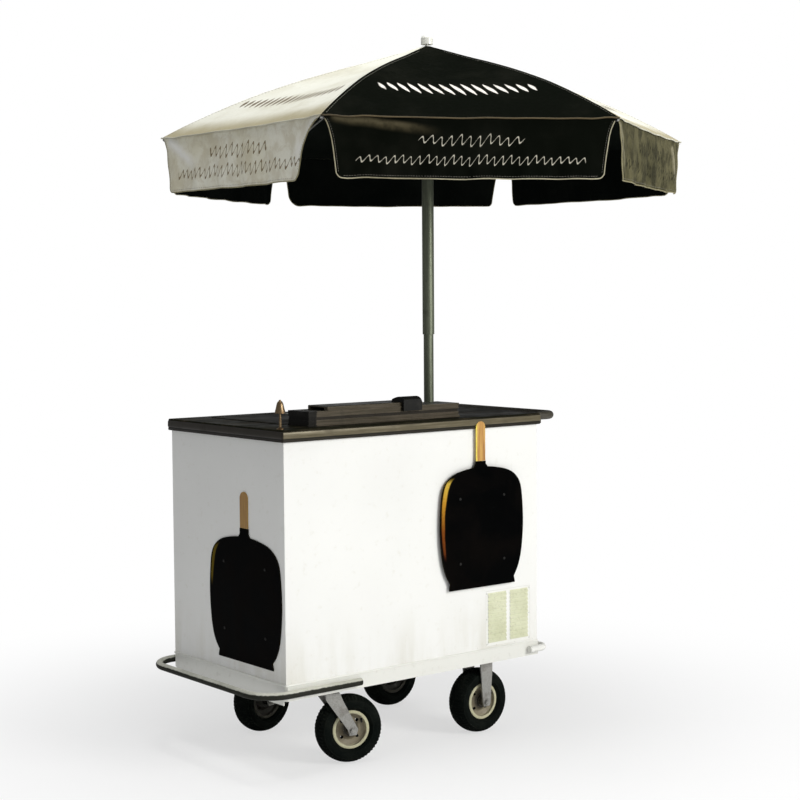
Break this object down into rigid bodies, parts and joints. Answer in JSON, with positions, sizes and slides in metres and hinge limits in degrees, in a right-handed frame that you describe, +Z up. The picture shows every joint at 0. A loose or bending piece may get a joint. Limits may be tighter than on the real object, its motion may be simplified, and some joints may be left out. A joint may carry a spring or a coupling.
{
  "type": "push vending cart",
  "caption": "Chest-freezer vending cart on pneumatic casters with lift-up freezer lid, sliding dry-goods lids, push handle, bumpers, display signs and folding hexagonal umbrella.",
  "frame": {"origin": "on the ground under the centre of the overall box", "axes": "+Z up, +X along the cart towards the push handle, -Y towards the customers"},
  "size_m": [1.6116, 1.69, 2.2102],
  "materials": {
    "white_enamel": "gloss",
    "chassis_paint": "satin",
    "counter_top": "satin",
    "box_metal": "satin",
    "black_plastic": "satin",
    "foam": "matte",
    "liner_aluminium": "satin",
    "copper_tube": "satin",
    "compressor_black": "satin",
    "zinc_steel": "satin",
    "hub_paint": "satin",
    "tyre_rubber": "matte",
    "seal_rubber": "matte",
    "handle_tube": "satin",
    "bumper_paint": "satin",
    "bell_brass": "polished",
    "sign_dark": "gloss",
    "sign_wood": "satin",
    "pole_metal": "satin",
    "rib_steel": "satin",
    "canopy_vinyl": "satin"
  },
  "bodies": {
    "cart": {"chassis_frame": "chassis_paint", "outer_skin": "white_enamel", "louvre_panels": "white_enamel", "foam_insulation": "foam", "freezer_liner": "liner_aluminium", "evaporator_tube": "copper_tube", "compressor": "compressor_black", "condenser": "zinc_steel", "umbrella_socket": "zinc_steel", "countertop": "counter_top", "lid_gasket": "seal_rubber", "lid_hinges": "zinc_steel", "supply_box": "box_metal", "service_bell": "bell_brass", "push_handle": "handle_tube", "bumper_tubes": "bumper_paint", "swivel_plates": "zinc_steel", "rigid_forks": "zinc_steel", "caster_bolts": "zinc_steel", "sign_bars": "sign_dark", "sign_sticks": "sign_wood"},
    "lid": {"freezer_lid": "counter_top", "lid_pull": "zinc_steel"},
    "lower_slide": {"box_lid_lower": "box_metal"},
    "upper_slide": {"box_lid_upper": "box_metal", "lid_grip": "black_plastic"},
    "fan": {"fan_blade": "black_plastic"},
    "swivel_front": {"swivel_fork_front": "zinc_steel"},
    "swivel_rear": {"swivel_fork_rear": "zinc_steel"},
    "wheel_front_left": {"rim_front_left": "hub_paint", "tyre_front_left": "tyre_rubber"},
    "wheel_rear_left": {"rim_rear_left": "hub_paint", "tyre_rear_left": "tyre_rubber"},
    "wheel_front_right": {"rim_front_right": "hub_paint", "tyre_front_right": "tyre_rubber"},
    "wheel_rear_right": {"rim_rear_right": "hub_paint", "tyre_rear_right": "tyre_rubber"},
    "mast": {"pole_lower": "pole_metal"},
    "umbrella": {"pole_upper": "pole_metal", "umbrella_crown": "pole_metal", "canopy": "canopy_vinyl"},
    "runner": {"umbrella_runner": "black_plastic"},
    "rib_arm_1": {"rib_1": "rib_steel"},
    "stretcher_arm_1": {"stretcher_1": "rib_steel"},
    "valance_hang_1": {"valance_1": "canopy_vinyl"},
    "rib_arm_2": {"rib_2": "rib_steel"},
    "stretcher_arm_2": {"stretcher_2": "rib_steel"},
    "valance_hang_2": {"valance_2": "canopy_vinyl"},
    "rib_arm_3": {"rib_3": "rib_steel"},
    "stretcher_arm_3": {"stretcher_3": "rib_steel"},
    "valance_hang_3": {"valance_3": "canopy_vinyl"},
    "rib_arm_4": {"rib_4": "rib_steel"},
    "stretcher_arm_4": {"stretcher_4": "rib_steel"},
    "valance_hang_4": {"valance_4": "canopy_vinyl"},
    "rib_arm_5": {"rib_5": "rib_steel"},
    "stretcher_arm_5": {"stretcher_5": "rib_steel"},
    "valance_hang_5": {"valance_5": "canopy_vinyl"},
    "rib_arm_6": {"rib_6": "rib_steel"},
    "stretcher_arm_6": {"stretcher_6": "rib_steel"},
    "valance_hang_6": {"valance_6": "canopy_vinyl"}
  },
  "joints": [
    {"name": "lid_hinge", "type": "hinge", "parent": "cart", "child": "lid", "pos_m": [-0.31, -0.135, 1.012], "axis": [1, 0, 0], "range_deg": [0, 95]},
    {"name": "lower_lid_slide", "type": "slide", "parent": "cart", "child": "lower_slide", "axis": [1, 0, 0], "range_m": [0, 0.13]},
    {"name": "upper_lid_slide", "type": "slide", "parent": "cart", "child": "upper_slide", "axis": [1, 0, 0], "range_m": [-0.055, 0.13]},
    {"name": "fan_spin", "type": "hinge", "parent": "cart", "child": "fan", "pos_m": [0.143, -0.22, 0.375], "axis": [0, 1, 0], "continuous": true},
    {"name": "caster_turn_front", "type": "hinge", "parent": "cart", "child": "swivel_front", "pos_m": [-0.5, -0.216, 0.22], "axis": [0, 0, 1], "continuous": true},
    {"name": "caster_turn_rear", "type": "hinge", "parent": "cart", "child": "swivel_rear", "pos_m": [-0.5, 0.216, 0.22], "axis": [0, 0, 1], "continuous": true},
    {"name": "wheel_spin_front_left", "type": "hinge", "parent": "swivel_front", "child": "wheel_front_left", "pos_m": [-0.44071, -0.23413, 0.1015], "axis": [-0.2924, -0.9563, 0], "continuous": true},
    {"name": "wheel_spin_rear_left", "type": "hinge", "parent": "swivel_rear", "child": "wheel_rear_left", "pos_m": [-0.4386, 0.22463, 0.1015], "axis": [0.1392, -0.9903, 0], "continuous": true},
    {"name": "wheel_spin_front_right", "type": "hinge", "parent": "cart", "child": "wheel_front_right", "pos_m": [0.08, -0.225, 0.1015], "axis": [0, -1, 0], "continuous": true},
    {"name": "wheel_spin_rear_right", "type": "hinge", "parent": "cart", "child": "wheel_rear_right", "pos_m": [0.08, 0.225, 0.1015], "axis": [0, -1, 0], "continuous": true},
    {"name": "mast_turn", "type": "hinge", "parent": "cart", "child": "mast", "pos_m": [0.074, 0, 1], "axis": [0, 0, 1], "continuous": true},
    {"name": "pole_height", "type": "slide", "parent": "mast", "child": "umbrella", "axis": [0, 0, 1], "range_m": [-0.1, 0.15]},
    {"name": "umbrella_open_close", "type": "slide", "parent": "umbrella", "child": "runner", "axis": [0, 0, 1], "range_m": [-0.5267, 0], "deforming": ["canopy", "valance_1", "valance_2", "valance_3", "valance_4", "valance_5", "valance_6"]},
    {"name": "rib_fold_1", "type": "hinge", "parent": "umbrella", "child": "rib_arm_1", "pos_m": [0.074, -0.022, 2.156], "axis": [-1, 0, 0], "range_deg": [-68.32, 0]},
    {"name": "stretcher_fold_1", "type": "hinge", "parent": "runner", "child": "stretcher_arm_1", "pos_m": [0.074, -0.03, 1.826], "axis": [-1, 0, 0], "range_deg": [0, 55.86]},
    {"name": "valance_drop_1", "type": "hinge", "parent": "rib_arm_1", "child": "valance_hang_1", "pos_m": [0.074, -0.842, 1.877], "axis": [-1, 0, 0], "range_deg": [0, 68.32]},
    {"name": "rib_fold_2", "type": "hinge", "parent": "umbrella", "child": "rib_arm_2", "pos_m": [0.09305, -0.011, 2.156], "axis": [-0.5, -0.866, 0], "range_deg": [-68.32, 0]},
    {"name": "stretcher_fold_2", "type": "hinge", "parent": "runner", "child": "stretcher_arm_2", "pos_m": [0.09998, -0.015, 1.826], "axis": [-0.5, -0.866, 0], "range_deg": [0, 55.86]},
    {"name": "valance_drop_2", "type": "hinge", "parent": "rib_arm_2", "child": "valance_hang_2", "pos_m": [0.80319, -0.421, 1.877], "axis": [-0.5, -0.866, 0], "range_deg": [0, 68.32]},
    {"name": "rib_fold_3", "type": "hinge", "parent": "umbrella", "child": "rib_arm_3", "pos_m": [0.09305, 0.011, 2.156], "axis": [0.5, -0.866, 0], "range_deg": [-68.32, 0]},
    {"name": "stretcher_fold_3", "type": "hinge", "parent": "runner", "child": "stretcher_arm_3", "pos_m": [0.09998, 0.015, 1.826], "axis": [0.5, -0.866, 0], "range_deg": [0, 55.86]},
    {"name": "valance_drop_3", "type": "hinge", "parent": "rib_arm_3", "child": "valance_hang_3", "pos_m": [0.80319, 0.421, 1.877], "axis": [0.5, -0.866, 0], "range_deg": [0, 68.32]},
    {"name": "rib_fold_4", "type": "hinge", "parent": "umbrella", "child": "rib_arm_4", "pos_m": [0.074, 0.022, 2.156], "axis": [1, 0, 0], "range_deg": [-68.32, 0]},
    {"name": "stretcher_fold_4", "type": "hinge", "parent": "runner", "child": "stretcher_arm_4", "pos_m": [0.074, 0.03, 1.826], "axis": [1, 0, 0], "range_deg": [0, 55.86]},
    {"name": "valance_drop_4", "type": "hinge", "parent": "rib_arm_4", "child": "valance_hang_4", "pos_m": [0.074, 0.842, 1.877], "axis": [1, 0, 0], "range_deg": [0, 68.32]},
    {"name": "rib_fold_5", "type": "hinge", "parent": "umbrella", "child": "rib_arm_5", "pos_m": [0.05495, 0.011, 2.156], "axis": [0.5, 0.866, 0], "range_deg": [-68.32, 0]},
    {"name": "stretcher_fold_5", "type": "hinge", "parent": "runner", "child": "stretcher_arm_5", "pos_m": [0.04802, 0.015, 1.826], "axis": [0.5, 0.866, 0], "range_deg": [0, 55.86]},
    {"name": "valance_drop_5", "type": "hinge", "parent": "rib_arm_5", "child": "valance_hang_5", "pos_m": [-0.65519, 0.421, 1.877], "axis": [0.5, 0.866, 0], "range_deg": [0, 68.32]},
    {"name": "rib_fold_6", "type": "hinge", "parent": "umbrella", "child": "rib_arm_6", "pos_m": [0.05495, -0.011, 2.156], "axis": [-0.5, 0.866, 0], "range_deg": [-68.32, 0]},
    {"name": "stretcher_fold_6", "type": "hinge", "parent": "runner", "child": "stretcher_arm_6", "pos_m": [0.04802, -0.015, 1.826], "axis": [-0.5, 0.866, 0], "range_deg": [0, 55.86]},
    {"name": "valance_drop_6", "type": "hinge", "parent": "rib_arm_6", "child": "valance_hang_6", "pos_m": [-0.65519, -0.421, 1.877], "axis": [-0.5, 0.866, 0], "range_deg": [0, 68.32]}
  ],
  "couplings": [
    {"joint": "rib_fold_1", "follows": "umbrella_open_close", "rad_per_m": 2.2623},
    {"joint": "stretcher_fold_1", "follows": "umbrella_open_close", "rad_per_m": -1.8494},
    {"joint": "valance_drop_1", "follows": "umbrella_open_close", "rad_per_m": -2.2623},
    {"joint": "rib_fold_2", "follows": "umbrella_open_close", "rad_per_m": 2.2623},
    {"joint": "stretcher_fold_2", "follows": "umbrella_open_close", "rad_per_m": -1.8494},
    {"joint": "valance_drop_2", "follows": "umbrella_open_close", "rad_per_m": -2.2623},
    {"joint": "rib_fold_3", "follows": "umbrella_open_close", "rad_per_m": 2.2623},
    {"joint": "stretcher_fold_3", "follows": "umbrella_open_close", "rad_per_m": -1.8494},
    {"joint": "valance_drop_3", "follows": "umbrella_open_close", "rad_per_m": -2.2623},
    {"joint": "rib_fold_4", "follows": "umbrella_open_close", "rad_per_m": 2.2623},
    {"joint": "stretcher_fold_4", "follows": "umbrella_open_close", "rad_per_m": -1.8494},
    {"joint": "valance_drop_4", "follows": "umbrella_open_close", "rad_per_m": -2.2623},
    {"joint": "rib_fold_5", "follows": "umbrella_open_close", "rad_per_m": 2.2623},
    {"joint": "stretcher_fold_5", "follows": "umbrella_open_close", "rad_per_m": -1.8494},
    {"joint": "valance_drop_5", "follows": "umbrella_open_close", "rad_per_m": -2.2623},
    {"joint": "rib_fold_6", "follows": "umbrella_open_close", "rad_per_m": 2.2623},
    {"joint": "stretcher_fold_6", "follows": "umbrella_open_close", "rad_per_m": -1.8494},
    {"joint": "valance_drop_6", "follows": "umbrella_open_close", "rad_per_m": -2.2623}
  ]
}
